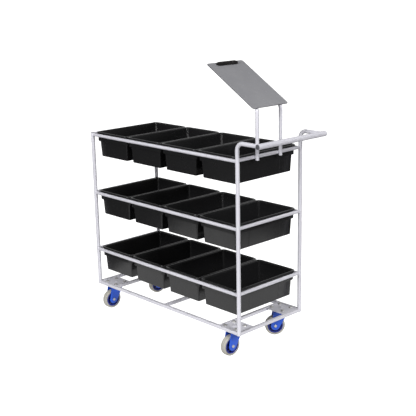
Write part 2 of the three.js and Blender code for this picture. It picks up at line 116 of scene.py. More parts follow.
def frames_along(path, side):
    """Two unit directions square to a path at each of its points.

    The tangent halves the angle between the runs before and after. The side is carried on from point to point
    with its part along the new tangent taken out, so the section never twists.
    """
    run = unit(np.diff(path, axis=0))
    tangent = unit(np.concatenate([run[:1], run[:-1] + run[1:], run[-1:]]))
    sides = []
    for along in tangent:
        side = unit(side - (side @ along) * along)
        sides.append(side)
    sides = np.array(sides)
    return sides, np.cross(tangent, sides)


def swept(section, path, side, rows, scale):
    """A flat section carried along a path: path point + scale * (u * side + v * up).

    The section's points are the (u, v). Rows pick the path points in order, and a scale of 0 draws the
    section in to the path, which closes an end.
    """
    sides, ups = frames_along(path, side)
    rows, scale = np.array(rows), np.array(scale, float)
    u, v = section[None, :, :1], section[None, :, 1:]
    offset = u * sides[rows][:, None] + v * ups[rows][:, None]
    return path[rows][:, None] + scale[:, None, None] * offset


def closed_ends(section, path, side):
    """A swept section whose two ends are closed by flat faces."""
    last = len(path) - 1
    rows = [0, *range(last + 1), last]
    scale = [0, *np.ones(last + 1), 0]
    return swept(section, path, side, rows, scale)


def turned(profile, centre, axis, count=POST_FACETS):
    """A profile, a table of (radius, height) pairs in metres, turned about an axis through centre.

    Each point is centre + height * axis + radius * (cos a * side + sin a * up), a going once round.
    """
    side = X if abs(axis[0]) < 0.5 else Y
    side = unit(side - (side @ axis) * axis)
    around = circle(1.0, count)
    around = around[:, :1] * side + around[:, 1:] * np.cross(axis, side)
    profile = np.array(profile, float)[:, :, None]
    return centre + profile[:, 1, None] * axis + profile[:, 0, None] * around


def meet(ring, along, centre, axis, radius):
    """Slides each point of a ring along a direction to the near side of a cylinder.

    With w the point's offset square to the cylinder's axis, the slide is the smaller root t of
    |w + t * along| = radius.
    """
    w = ring - centre
    w = w - (w @ axis)[:, None] * axis
    b = w @ along
    t = -b - np.sqrt(b**2 - (w * w).sum(axis=1) + radius**2)
    return ring + t[:, None] * along


def weld(seam, inside, along, size):
    """A bead along a closed seam: at each seam point a small circle in the plane of outward and along.

    Outward leaves the point `inside` square to along. The circle's radius is size * (1 + ripples + a slow
    unevenness), both of them waves over the share of the seam that is run so far.
    """
    outward = seam - inside
    outward = unit(outward - (outward @ along)[:, None] * along)
    run = np.concatenate([[0], np.cumsum(np.linalg.norm(np.diff(seam, axis=0), axis=1))])
    turns = 2 * np.pi * run / run[-1]
    count = round(run[-1] / WELD_RIPPLE)
    ripples, uneven = np.cos(count * turns), np.sin(UNEVEN_WAVES * turns + 1)
    radius = size * (1 + RIPPLE_SHARE * ripples + UNEVEN_SHARE * uneven)
    angle = np.linspace(0, 2 * np.pi, WELD_FACETS + 1)[None, :, None]
    offset = np.cos(angle) * outward[:, None] + np.sin(angle) * along
    return seam[:, None] + radius[:, None, None] * offset


def piece(name, sheets, material, body, nodes=()):
    """One mesh from sheets, each a grid of points whose neighbours are joined by quads.

    Merging equal points closes seams and poles. The piece rides on its body and stands for the named CAD
    nodes.
    """
    points, quads, first = [], [], 0
    for sheet in sheets:
        rows, columns = sheet.shape[:2]
        index = first + np.arange(rows * columns).reshape(rows, columns)
        corners = [index[:-1, :-1], index[:-1, 1:], index[1:, 1:], index[1:, :-1]]
        quads.append(np.stack(corners, axis=-1).reshape(-1, 4))
        points.append(sheet.reshape(-1, 3))
        first += rows * columns
    mesh = bpy.data.meshes.new(name)
    mesh.from_pydata(np.concatenate(points).tolist(), [], np.concatenate(quads).tolist())
    return finish_mesh(name, mesh, material, body, nodes)


def finish_mesh(name, mesh, material, body, nodes, closed=True):
    """An open skin, which a modifier makes a solid of, keeps the side that its faces are given with.
    """
    solid = bmesh.new()
    solid.from_mesh(mesh)
    bmesh.ops.remove_doubles(solid, verts=solid.verts, dist=MERGE_WITHIN)
    if closed:
        bmesh.ops.recalc_face_normals(solid, faces=solid.faces)
    solid.to_mesh(mesh)
    solid.free()
    mesh.shade_smooth()
    mesh.set_sharp_from_angle(angle=SHARP_OVER)
    mesh.materials.append(material)
    made = bpy.data.objects.new(name, mesh)
    bpy.context.scene.collection.objects.link(made)
    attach(made, body)
    if nodes:
        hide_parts(*nodes)
    return made


def tone(code):
    """The linear colour of a six-digit sRGB code."""
    part = np.array([int(code[i : i + 2], 16) for i in (0, 2, 4)]) / 255
    linear = np.where(part <= 0.04045, part / 12.92, ((part + 0.055) / 1.055) ** 2.4)
    return (*linear.tolist(), 1.0)


def wire(tree, socket, value):
    """Links another node's output to a socket, or sets a plain value on it."""
    if isinstance(value, bpy.types.NodeSocket):
        tree.links.new(value, socket)
    else:
        socket.default_value = value


def put(tree, kind, values, **settings):
    """A node with its settings and its input values, by socket name or number."""
    made = tree.nodes.new(kind)
    for name, value in settings.items():
        setattr(made, name, value)
    for name, value in values.items():
        wire(tree, made.inputs[name], value)
    return made


def noise(tree, place, scale, detail=3.0, rough=0.55):
    """Cloudy noise over a place, from about 0.3 to 0.7."""
    values = {"Vector": place, "Scale": scale, "Detail": detail, "Roughness": rough}
    return put(tree, "ShaderNodeTexNoise", values).outputs["Fac"]


def spread(tree, value, low, high, start=0.3, end=0.7):
    """A value from start to end, drawn out to run from low to high."""
    values = {"Value": value, "From Min": start, "From Max": end, "To Min": low, "To Max": high}
    return put(tree, "ShaderNodeMapRange", values).outputs["Result"]


def mixed(tree, share, first, second):
    """The first colour turning into the second as share goes from 0 to 1."""
    values = {0: share, 6: first, 7: second}
    return put(tree, "ShaderNodeMix", values, data_type="RGBA").outputs[2]


def times(tree, first, second):
    """The product of two values."""
    return put(tree, "ShaderNodeMath", {0: first, 1: second}, operation="MULTIPLY").outputs[0]


BUMP_DEPTH = 0.001
STREAK_SQUEEZE = (1.0, 1.0, 0.16)
STREAK_TURN = (0.5, 0.9, 0)
STREAK_EDGE = 0.05
PATCH_SCALE = 14.0
PATCH_RANGE = (0.45, 0.6)


def new_group(name, inputs, outputs):
    """A shader node group with float inputs and outputs, and its object coordinates."""
    group = bpy.data.node_groups.new(name, "ShaderNodeTree")
    for socket, value in inputs.items():
        made = group.interface.new_socket(socket, in_out="INPUT", socket_type="NodeSocketFloat")
        made.default_value = value
    for socket in outputs:
        group.interface.new_socket(socket, in_out="OUTPUT", socket_type="NodeSocketFloat")
    source = group.nodes.new("NodeGroupInput").outputs
    sink = group.nodes.new("NodeGroupOutput").inputs
    place = group.nodes.new("ShaderNodeTexCoord").outputs["Object"]
    return group, source, sink, place


def grain_group():
    """Fine grain for bumps, and a broad cloudiness for colour and gloss. Scales are waves per metre."""
    group, source, sink, place = new_group("grain", {"Fine": 900.0, "Broad": 9.0}, ["Height", "Cloud"])
    wire(group, sink["Height"], noise(group, place, source["Fine"], detail=2.0))
    wire(group, sink["Cloud"], noise(group, place, source["Broad"], detail=5.0, rough=0.6))
    return group


def scuff_group():
    """Handling marks: thin streaks where stretched noise passes a level, thinned out by a broad noise."""
    group, source, sink, place = new_group("scuffs", {"Scale": 60.0, "Level": 0.62}, ["Mark"])
    values = {"Vector": place, "Scale": STREAK_SQUEEZE, "Rotation": STREAK_TURN}
    drawn = put(group, "ShaderNodeMapping", values)
    streak = noise(group, drawn.outputs["Vector"], source["Scale"], detail=6.0, rough=0.7)
    limit = put(group, "ShaderNodeMath", {0: source["Level"], 1: STREAK_EDGE}, operation="ADD").outputs[0]
    line = put(group, "ShaderNodeMapRange", {"Value": streak, "From Min": source["Level"], "From Max": limit})
    patch = spread(group, noise(group, place, PATCH_SCALE), 0.0, 1.0, *PATCH_RANGE)
    wire(group, sink["Mark"], times(group, line.outputs["Result"], patch))
    return group


GRAIN = grain_group()
SCUFFS = scuff_group()


def coated(name, base, cloud, mark, gloss, metal=0.0, fine=900.0, bump=0.05, level=0.62, shine=0.5):
    """A coated surface: two close tones in clouds, scuffs of a third, gloss that varies, and a grain bump.

    Gloss is the lowest and highest roughness, fine the grain's waves per metre and bump its strength, level
    the noise over which scuffs show, and shine the specular level.
    """
    material = bpy.data.materials.new(name)
    material.use_nodes = True
    tree = material.node_tree
    shader = tree.nodes["Principled BSDF"]
    grain = put(tree, "ShaderNodeGroup", {}, node_tree=GRAIN)
    grain.inputs["Fine"].default_value = fine
    scuffs = put(tree, "ShaderNodeGroup", {}, node_tree=SCUFFS)
    scuffs.inputs["Level"].default_value = level
    clouds = spread(tree, grain.outputs["Cloud"], 0.0, 1.0)
    colour = mixed(tree, clouds, tone(base), tone(cloud))
    colour = mixed(tree, scuffs.outputs["Mark"], colour, tone(mark))
    wire(tree, shader.inputs["Base Color"], colour)
    wire(tree, shader.inputs["Roughness"], spread(tree, grain.outputs["Cloud"], *gloss))
    values = {"Strength": bump, "Distance": BUMP_DEPTH, "Height": grain.outputs["Height"]}
    raised = put(tree, "ShaderNodeBump", values)
    wire(tree, shader.inputs["Normal"], raised.outputs["Normal"])
    shader.inputs["Metallic"].default_value = metal
    shader.inputs["Specular IOR Level"].default_value = shine
    return material


silver_coat = coated("silver_powder_coat", "d0cfd6", "c6c5cd", "aaa9af", (0.36, 0.48), metal=0.1, fine=1100.0)
plug_plastic = coated("plug_plastic", "4a4a50", "404046", "66666c", (0.42, 0.6), fine=1500.0)

post_radius = half_size("front_left_post")[0]
bar_radius = half_size("push_bar")[2]
bar_middle = middle("push_bar")


def plug(name, mouth, outward, bore):
    """A pushed-in end plug: a thin flange with a rounded edge and a shallow dome.

    A profile of (radius, height over the mouth) pairs is turned about the tube's axis.
    """
    edge = bore + PLUG_LIP
    profile = [
        (0, -PLUG_DEPTH), (bore, -PLUG_DEPTH), (bore, 0), (edge, 0), (edge, PLUG_FLANGE - 0.0004),
        (edge - 0.0005, PLUG_FLANGE), (edge * 0.6, PLUG_FLANGE + PLUG_DOME * 0.7),
        (0, PLUG_FLANGE + PLUG_DOME),
    ]
    return piece(name, [turned(profile, mouth, outward)], plug_plastic, "frame")


for name in ("front_left_post", "rear_left_post"):
    low, high = reach(name)
    place = middle(name)
    path = np.array([(place[0], place[1], low[2]), (place[0], place[1], high[2])])
    piece(name + "_tube", [closed_ends(circle(post_radius), path, X)], silver_coat, "frame", [name])
    plug(name + "_plug", path[1], Z, post_radius - POST_WALL)

for name in ("front_right_post", "rear_right_post"):
    low, high = reach(name)
    x, y = low[0] + post_radius, middle(name)[1]
    corners = [(x, y, low[2]), (x, y, bar_middle[2]), (bar_middle[0], y, bar_middle[2])]
    sheet = closed_ends(circle(post_radius), bent_path(corners, LEG_BEND), Y)
    seam = meet(sheet[-2], X, bar_middle, Y, bar_radius)
    sheet[-2] = seam
    sheet[-1] = corners[2] - END_SHARE * bar_radius * X
    bead = weld(seam, np.array(corners[2]), -X, LEG_WELD)
    piece(name + "_tube", [sheet, bead], silver_coat, "frame", [name])

# Push bar. A wider steel tube across the two handle legs, with a dark plastic plug pushed into each open end.
# The legs are welded to its inner side, and it has the same powder coat.
PLUG_STAND = 0.0018
BAR_WALL = 0.0022
low, high = reach("push_bar")
ends = np.array([(bar_middle[0], low[1] + PLUG_STAND, bar_middle[2]),
                 (bar_middle[0], high[1] - PLUG_STAND, bar_middle[2])])
piece("push_bar_tube", [closed_ends(circle(bar_radius), ends, X)], silver_coat, "frame", ["push_bar"])
plug("push_bar_front_plug", ends[0], -Y, bar_radius - BAR_WALL)
plug("push_bar_rear_plug", ends[1], Y, bar_radius - BAR_WALL)

# Tier rails. Four round tubes a tier, 15 mm across, their ends shaped to the posts and welded all round.
# The tubs hang on the front and rear ones; the end ones hold the width.
rail_radius = half_size("top_front_rail")[2]
post_places = {name: middle(name)[:2] for name in ("front_left_post", "rear_left_post")}
for name in ("front_right_post", "rear_right_post"):
    post_places[name] = np.array([reach(name)[0][0] + post_radius, middle(name)[1]])
TIERS = ("low", "middle", "top")
RAIL_WELD = 0.0012
RAIL_FACETS = 96
END_RUN = 0.03
RAIL_POSTS = {
    "front": ("front_left_post", "front_right_post"),
    "rear": ("rear_left_post", "rear_right_post"),
    "left": ("front_left_post", "rear_left_post"),
    "right": ("front_right_post", "rear_right_post"),
}


def welded_rail(name, start, end, section):
    """A tube between two posts, its end rings slid on to the posts, with a bead round each end."""
    along = unit(end - start)
    path = np.array([start + END_RUN * along, end - END_RUN * along])
    sheet = closed_ends(section, path, np.cross(Z, along))
    sheet[1] = meet(sheet[1], -along, start, Z, post_radius)
    sheet[2] = meet(sheet[2], along, end, Z, post_radius)
    sheet[0] = start + END_SHARE * post_radius * along
    sheet[-1] = end - END_SHARE * post_radius * along
    beads = [weld(sheet[1], start, along, RAIL_WELD), weld(sheet[2], end, -along, RAIL_WELD)]
    return piece(name + "_tube", [sheet, *beads], silver_coat, "frame", [name])


for tier in TIERS:
    for side, (first, second) in RAIL_POSTS.items():
        name = f"{tier}_{side}_rail"
        height = middle(name)[2]
        start = np.array([*post_places[first], height])
        end = np.array([*post_places[second], height])
        welded_rail(name, start, end, circle(rail_radius, RAIL_FACETS))

# Base rails. Square tube with rounded corners: two long rails, two outer end rails and three cross rails.
# The long and outer rails are welded to the posts, the cross rails between the long ones.
BASE_CORNER = 0.0024
BASE_WELD = 0.0015
base_half = half_size("base_front_rail")[2]


def rounded_square(half, corner, count=6, flat=14):
    """A closed ring: four quarter circles of the corner radius, joined by straight sides in even steps."""
    ring = []
    for quarter in range(4):
        angle = (quarter + np.linspace(0, 1, count + 1)[:, None]) * np.pi / 2
        turn = quarter * np.pi / 2 + np.pi / 4
        centre = (half - corner) * math.sqrt(2) * np.array([[math.cos(turn), math.sin(turn)]])
        arc = centre + corner * np.concatenate([np.cos(angle), np.sin(angle)], axis=1)
        ring.append(arc)
        side = np.array([-math.sin(angle[-1, 0]), math.cos(angle[-1, 0])])
        step = np.linspace(0, 1, flat + 1)[1:-1, None] * 2 * (half - corner)
        ring.append(arc[-1] + step * side)
    ring.append(ring[0][:1])
    return np.concatenate(ring)


base_section = rounded_square(base_half, BASE_CORNER)
base_height = middle("base_front_rail")[2]
BASE_POSTS = {
    "base_front_rail": RAIL_POSTS["front"],
    "base_rear_rail": RAIL_POSTS["rear"],
    "base_left_outer_rail": RAIL_POSTS["left"],
    "base_right_outer_rail": RAIL_POSTS["right"],
}
for name, (first, second) in BASE_POSTS.items():
    start = np.array([*post_places[first], base_height])
    end = np.array([*post_places[second], base_height])
    welded_rail(name, start, end, base_section)

front_face = reach("base_front_rail")[1][1]
rear_face = reach("base_rear_rail")[0][1]
for name in ("base_left_inner_rail", "base_middle_rail", "base_right_inner_rail"):
    x = middle(name)[0]
    path = np.array([(x, front_face, base_height), (x, rear_face, base_height)])
    sheet = closed_ends(base_section, path, X)
    beads = [weld(sheet[1], path[0], Y, BASE_WELD), weld(sheet[-2], path[1], -Y, BASE_WELD)]
    piece(name + "_tube", [sheet, *beads], silver_coat, "frame", [name])

# Castor plates. A steel plate welded into each corner of the base, and under it the castor's own top plate.
# Four hex bolts hold the two together; the ball race and the riveted kingpin hang below.
SWIVEL_INSET = np.array([0.071, 0.046])
CASTOR_TURNS = {"front_left": -4, "front_right": -4, "rear_left": -10, "rear_right": -38}
PLATE_THICKNESS = 0.004
PLATE_CORNER = 0.003
TOP_PLATE_HALF = (0.043, 0.037)
TOP_PLATE_THICKNESS = 0.003
TOP_PLATE_CORNER = 0.008
BOLT_SPREAD = (0.034, 0.028)
RACE_RADIUS = 0.026
KINGPIN_HEAD = 0.01
LOW_BOLT_HEIGHT = 0.0055
WASHER_THICKNESS = 0.0012
WASHER_FACETS = 32
HEAD_SIDES = 6
RACE_FACETS = 64
PART_GAP = 0.0003
SKIN_GAP = 0.0001


def rounded_loops(half_x, half_y, corner, insets, least, steps, flats):
    """Closed rings of one rounded rectangle at several insets: quarter circles joined by straight sides.

    A ring's corner radius is corner - inset, but not below the least. Flats are shares of the way along a
    side.
    """
    insets = np.array(insets)[:, None]
    radius = np.maximum(corner - insets, least)
    arcs = []
    for quarter, (side_x, side_y) in enumerate([(1, 1), (-1, 1), (-1, -1), (1, -1)]):
        angle = (quarter + np.linspace(0, 1, steps + 1)) * np.pi / 2
        x = side_x * (half_x - insets - radius) + radius * np.cos(angle)
        y = side_y * (half_y - insets - radius) + radius * np.sin(angle)
        arcs.append(np.stack([x, y], axis=-1))
    ring = []
    for arc, after in zip(arcs, arcs[1:] + arcs[:1]):
        ring.append(arc)
        ring += [arc[:, -1:] * (1 - share) + after[:, :1] * share for share in flats]
    return np.concatenate([*ring, arcs[0][:, :1]], axis=1)


def moulded(half_x, half_y, corner, profile, least=0.0005, steps=6, flats=(0.5,)):
    """A closed shell: a profile of (inset, height) pairs carried round a rounded rectangle.

    Its first and last rows draw in to the middle, which closes the two ends.
    """
    profile = np.array(profile)
    ring = rounded_loops(half_x, half_y, corner, profile[:, 0], least, steps, flats)
    height = np.broadcast_to(profile[:, 1, None, None], (*ring.shape[:2], 1))
    sheet = np.concatenate([ring, height], axis=-1)
    return np.concatenate([sheet[:1] * Z, sheet, sheet[-1:] * Z])


def soft_slab(half_x, half_y, corner, bottom, top, edge=0.0004):
    """A flat slab whose top and bottom edges are turned over by a small chamfer."""
    profile = [(edge, bottom), (0, bottom + edge), (0, top - edge), (edge, top)]
    return moulded(half_x, half_y, corner, profile)


def hex_head(centre, axis, across=0.013, height=0.0053, washer=0.008):
    """A washer and a six-sided head with chamfered corners, turned about the bolt's axis."""
    corner = across / math.sqrt(3)
    flat = WASHER_THICKNESS
    ring = [(0, 0), (washer, 0), (washer, flat), (0, flat)]
    head = [(0, flat), (corner, flat), (corner, height - 0.0008), (corner - 0.001, height), (0, height)]
    return [turned(ring, centre, axis, WASHER_FACETS), turned(head, centre, axis, HEAD_SIDES)]


def swivel(corner):
    """The castor's kingpin place on the floor plan, and its turn about it as a matrix."""
    post = post_places[f"{corner}_post"]
    inward = np.array([1 if "left" in corner else -1, 1 if "front" in corner else -1])
    turn = Matrix.Rotation(math.radians(CASTOR_TURNS[corner]), 3, "Z")
    return np.array([*(post + inward * SWIVEL_INSET), 0.0]), np.array(turn)


plate_steel = coated("plate_grey_coat", "d0cfd7", "c5c4cc", "dedee3", (0.4, 0.56), metal=0.1, level=0.58)
bright_zinc = coated("bright_zinc", "cbcac6", "b7b7b6", "8b8b88", (0.3, 0.46), metal=0.7, fine=2000.0)

for corner in CASTOR_TURNS:
    name = f"{corner}_castor_plate"
    low, high = reach(name)
    place, turn = swivel(corner)
    centre, half = (low + high) / 2, (high - low) / 2
    top = high[2]
    under = top - PLATE_THICKNESS
    lower = under - TOP_PLATE_THICKNESS
    corner_plate = soft_slab(half[0], half[1], PLATE_CORNER, under, top) + centre * (1, 1, 0)
    race_foot = reach(f"{corner}_castor_fork")[1][2] + PART_GAP
    top_plate = soft_slab(*TOP_PLATE_HALF, TOP_PLATE_CORNER, lower, under - SKIN_GAP) + place
    race = turned([
        (0, lower), (RACE_RADIUS - 0.002, lower), (RACE_RADIUS, lower - 0.0015),
        (RACE_RADIUS, race_foot + 0.001), (RACE_RADIUS - 0.001, race_foot), (0, race_foot),
    ], place, Z, RACE_FACETS)
    rivet = turned([
        (0, top), (0.0125, top), (0.0125, top + 0.0006), (0.0095, top + 0.0006),
        (0.0085, top + 0.0012), (0.005, top + 0.0017), (0, top + 0.0018),
    ], place, Z)
    head_low = low[2]
    kingpin = turned([
        (0, head_low + 0.004), (KINGPIN_HEAD, head_low + 0.004), (KINGPIN_HEAD, head_low + 0.0015),
        (0.008, head_low + 0.0003), (0, head_low),
    ], place, Z)
    piece(name + "_steel", [corner_plate, top_plate, race, rivet, kingpin], plate_steel, "frame", [name])
    bolts = []
    for side_x in (-1, 1):
        for side_y in (-1, 1):
            spot = place + (side_x * BOLT_SPREAD[0], side_y * BOLT_SPREAD[1], 0)
            bolts += hex_head(spot + top * Z, Z)
            bolts += hex_head(spot + lower * Z, -Z, height=LOW_BOLT_HEIGHT)
    piece(f"{corner}_castor_bolts", bolts, bright_zinc, "frame")

# Castor forks. One pressed steel channel a castor: two legs with a round nose, a rounded shoulder and a web.
# A turned crown carries the lower race; the fork is painted bright blue.
FORK_THICKNESS = 0.004
FORK_SHOULDER = 0.0055
FORK_NOSE = 0.021
FORK_TRAIL = 0.03
FORK_FRONT = 0.038
FORK_BACK = 0.032
WEB_DROP = 0.0027
AXLE_HEIGHT = middle("front_left_castor_hub")[2]
FORK_HALF = 0.0195
FORK_EDGE = 0.0007
NOSE_POINTS = 33
SHOULDER_POINTS = 8
BEVEL_SEGMENTS = 2
BEVEL_OVER = math.radians(50)


def carried(points, place, turn):
    """Points of a castor at rest carried to its place, after its turn about the kingpin."""
    return points @ turn.T + place


def fork_mesh(place, turn, top):
    """The channel's outer skin: a leg outline on each side, and between them rows that round the shoulders.

    The front and back edges are the lines from the web's front and back corners that touch the nose circle.
    A corner at (across, up) from the axle sees the touch at the angle atan2(up, across), plus or minus
    acos(nose radius / its distance).
    """
    up = top - AXLE_HEIGHT
    touches = []
    for across, side in ((FORK_TRAIL - FORK_FRONT, 1), (FORK_TRAIL + FORK_BACK, -1)):
        touches.append(math.atan2(up, across) + side * math.acos(FORK_NOSE / math.hypot(across, up)))
    nose = np.linspace(touches[0], 2 * np.pi + touches[1], NOSE_POINTS)
    nose = np.stack([FORK_NOSE * np.cos(nose) - FORK_TRAIL, FORK_NOSE * np.sin(nose) + AXLE_HEIGHT], axis=1)
    lean_front = (-FORK_FRONT - nose[0, 0]) / (top - nose[0, 1])
    lean_back = (FORK_BACK - nose[-1, 0]) / (top - nose[-1, 1])
    angle = np.linspace(0, np.pi / 2, SHOULDER_POINTS)
    half = FORK_HALF - FORK_SHOULDER + FORK_SHOULDER * np.cos(angle)
    rise = top - FORK_SHOULDER + FORK_SHOULDER * np.sin(angle)
    half = np.concatenate([half, -half[::-1]])
    rise = np.concatenate([rise, rise[::-1]])
    front = np.stack([half, -FORK_FRONT - lean_front * (top - rise), rise], axis=1)
    back = np.stack([half, FORK_BACK - lean_back * (top - rise), rise], axis=1)
    count = len(half)
    left = np.column_stack([np.full(len(nose), FORK_HALF), nose])
    right = left * (-1, 1, 1)
    points = np.concatenate([front, back, left, right])
    step = np.arange(count - 1)
    faces = np.stack([count + step, count + step + 1, step + 1, step], axis=1).tolist()
    legs = np.arange(len(nose)) + 2 * count
    faces.append([count, 0, *legs.tolist()])
    faces.append([2 * count - 1, *(legs[::-1] + len(nose)).tolist(), count - 1])
    mesh = bpy.data.meshes.new("fork")
    mesh.from_pydata(carried(points, place, turn).tolist(), [], faces)
    return mesh


def as_sheet(made, thickness, offset, edge_width, even):
    """Makes sheet steel of an open skin, with a small bevel on its sharp edges.

    An offset of -1 lays the thickness inside the skin and 0 lays it on both sides. Even keeps it at corners.
    """
    sheet = made.modifiers.new("sheet", "SOLIDIFY")
    sheet.thickness = thickness
    sheet.offset = offset
    sheet.use_even_offset = even
    edge = made.modifiers.new("edge", "BEVEL")
    edge.width = edge_width
    edge.segments = BEVEL_SEGMENTS
    edge.limit_method = "ANGLE"
    edge.angle_limit = BEVEL_OVER


fork_paint = coated("blue_fork_paint", "285acb", "1c4ab6", "6a86d6", (0.26, 0.4), fine=1300.0, shine=0.4)

for corner in CASTOR_TURNS:
    name = f"{corner}_castor_fork"
    place, turn = swivel(corner)
    crown_top = reach(name)[1][2]
    top = crown_top - WEB_DROP
    fork = finish_mesh(name + "_channel", fork_mesh(place, turn, top), fork_paint, corner + "_fork",
                       [name], closed=False)
    as_sheet(fork, FORK_THICKNESS, -1, FORK_EDGE, even=True)
    crown = turned([
        (0, top - 0.0005), (RACE_RADIUS, top - 0.0005), (RACE_RADIUS, crown_top - 0.0012),
        (RACE_RADIUS - 0.0004, crown_top - 0.0004), (RACE_RADIUS - 0.0012, crown_top), (0, crown_top),
    ], place, Z, RACE_FACETS)
    piece(name + "_crown", [crown], fork_paint, corner + "_fork")

# Wheels. A navy moulded centre with a boss, a web and radial ribs, and a pale grey rubber tyre on its rim.
# Each wheel turns on a zinc bolt that has washers, a hex head and a nut.
WHEEL_HALF = 0.0135
TYRE_INSIDE = 0.0368
TYRE_SHOULDER = 0.0055
HUB_RIM = 0.0365
HUB_RIM_INSIDE = 0.0305
HUB_BOSS = 0.012
HUB_BOSS_HALF = 0.0152
HUB_WEB_HALF = 0.003
HUB_RIBS = 8
HUB_RIB_HALF = 0.001
HUB_RIB_ROUND = 0.0005
HUB_RIB_STRETCH = (1, 9)
HUB_FACETS = 96
TYRE_FACETS = 128
TREAD_POINTS = 5
TREAD_CROWN = 0.0002
AXLE_RADIUS = 0.004
AXLE_FACETS = 32
AXLE_HEAD = {"across": 0.0125, "height": 0.0041, "washer": 0.0069}

hub_plastic = coated("navy_hub_plastic", "1c2a86", "18246f", "4a58a8", (0.32, 0.48), fine=1500.0)
tyre_rubber = coated("pale_tyre_rubber", "a9a7a1", "98958c", "7b776e", (0.62, 0.82),
                     fine=1800.0, bump=0.2, level=0.56)


def mirrored(half_profile):
    """A profile of (radius, across) pairs from the middle plane out, and its mirror image before it."""
    half_profile = np.array(half_profile)
    return np.concatenate([half_profile[::-1] * (1, -1), half_profile])


def ring_solid(profile, centre, axis, count):
    """A profile turned about an axis and closed on itself, for a piece with a hole through it."""
    return turned([*profile, profile[0]], centre, axis, count)


for corner in CASTOR_TURNS:
    name = f"{corner}_castor"
    place, turn = swivel(corner)
    axis = turn @ X
    hub_centre = place + turn @ np.array([0, -FORK_TRAIL, AXLE_HEIGHT])
    bore = AXLE_RADIUS + PART_GAP
    hub_profile = mirrored([
        (HUB_RIM_INSIDE, HUB_WEB_HALF + 0.0015), (HUB_RIM_INSIDE + 0.0006, 0.0125),
        (HUB_RIM_INSIDE + 0.0012, 0.0131),
        (HUB_RIM - 0.0006, 0.0131), (HUB_RIM, 0.0125), (HUB_RIM, 0.0),
    ])
    web_profile = mirrored([
        (HUB_RIM_INSIDE + 0.002, 0.0), (HUB_RIM_INSIDE + 0.002, HUB_WEB_HALF + 0.002),
        (HUB_RIM_INSIDE - 0.001, HUB_WEB_HALF + 0.0006), (HUB_RIM_INSIDE - 0.003, HUB_WEB_HALF),
        (HUB_BOSS + 0.003, HUB_WEB_HALF), (HUB_BOSS + 0.0008, HUB_WEB_HALF + 0.001),
        (HUB_BOSS, HUB_WEB_HALF + 0.003), (HUB_BOSS - 0.0003, HUB_BOSS_HALF - 0.0005),
        (HUB_BOSS - 0.0009, HUB_BOSS_HALF), (0.0075, HUB_BOSS_HALF), (0.0072, HUB_BOSS_HALF - 0.001),
        (0.0055, HUB_BOSS_HALF - 0.001), (0.0052, HUB_BOSS_HALF), (bore, HUB_BOSS_HALF), (bore, 0.0),
    ])
    sheets = [ring_solid(profile, hub_centre, axis, HUB_FACETS) for profile in (hub_profile, web_profile)]
    rib = rounded_square(HUB_RIB_HALF, HUB_RIB_ROUND, 2, 2) * HUB_RIB_STRETCH
    for turned_by in np.arange(HUB_RIBS) * 2 * np.pi / HUB_RIBS:
        outward = turn @ np.array([0, math.cos(turned_by), math.sin(turned_by)])
        path = hub_centre + np.array([[HUB_BOSS - 0.001], [HUB_RIM_INSIDE + 0.001]]) * outward
        sheets.append(closed_ends(rib, path, np.cross(outward, axis)))
    piece(name + "_wheel_centre", sheets, hub_plastic, corner + "_wheel", [name + "_hub"])

    tread = np.linspace(0, WHEEL_HALF - TYRE_SHOULDER, TREAD_POINTS)
    tread = np.stack([AXLE_HEIGHT - TREAD_CROWN * (tread / WHEEL_HALF) ** 2, tread], axis=1)
    angle = np.linspace(0, np.pi / 2, SHOULDER_POINTS)[1:]
    shoulder = tread[-1] + TYRE_SHOULDER * np.stack([np.cos(angle) - 1, np.sin(angle)], axis=1)
    wall = [
        (TYRE_INSIDE + 0.0022, WHEEL_HALF - 0.0001), (TYRE_INSIDE + 0.0018, WHEEL_HALF - 0.0006),
        (TYRE_INSIDE + 0.0008, WHEEL_HALF - 0.0006), (TYRE_INSIDE, WHEEL_HALF - 0.0004), (TYRE_INSIDE, 0.0),
    ]
    tyre_profile = mirrored(np.concatenate([tread, shoulder, wall])[::-1])
    tyre = [ring_solid(tyre_profile, hub_centre, axis, TYRE_FACETS)]
    piece(name + "_rubber_tyre", tyre, tyre_rubber, corner + "_wheel", [name + "_tyre"])

    face = FORK_HALF + SKIN_GAP
    shank = np.array([hub_centre - face * axis, hub_centre + face * axis])
    bolt = [closed_ends(circle(AXLE_RADIUS, AXLE_FACETS), shank, turn @ Y)]
    bolt += hex_head(hub_centre + face * axis, axis, **AXLE_HEAD)
    bolt += hex_head(hub_centre - face * axis, -axis, **AXLE_HEAD)
    piece(name + "_axle_bolt", bolt, bright_zinc, corner + "_fork", [name + "_axle"])

# Tubs. Twelve moulded black plastic tubs, each with a broad rim, a thin skirt that hangs from it and a body
# that tapers. The rim rests on the front and rear rails of its tier; the end walls have two fine ribs each.
RIM_CORNER = 0.024
RIM_LIP = 0.0058
RIM_DEPTH = 0.00847
RIM_EDGE = 0.0026
RIM_BEAD = 0.0062
RIM_SLOPE = 0.0035
SKIRT_FOOT = 0.04497
BODY_TOP = 0.0125
BODY_FOOT = 0.021
WALL = 0.0025
FOOT_ROUND = 0.003
WALL_ROWS = 14
HANDLED_DEPTH = 0.0032
FOOT_RING = 0.012
FOOT_RECESS = 0.001
FLOOR_INSET = 0.03
RIB_PLACE = 0.095
RIB_PROUD = 0.0008
RIB_WIDTH = 0.0022
RIB_MARGIN = 0.002
RIM_COAT = 0.18
SIDE_STEPS = 119
CORNER_STEPS = 8
TUB_BEND_FACETS = 4

tub_plastic = coated("black_tub_plastic", "171718", "161617", "262628", (0.18, 0.28),
                     fine=1600.0, bump=0.08, level=0.64)
tub_tree = tub_plastic.node_tree
rim_share = put(tub_tree, "ShaderNodeAttribute", {}, attribute_name="handled").outputs["Fac"]
rim_coat = times(tub_tree, rim_share, RIM_COAT)
wire(tub_tree, tub_tree.nodes["Principled BSDF"].inputs["Coat Weight"], rim_coat)


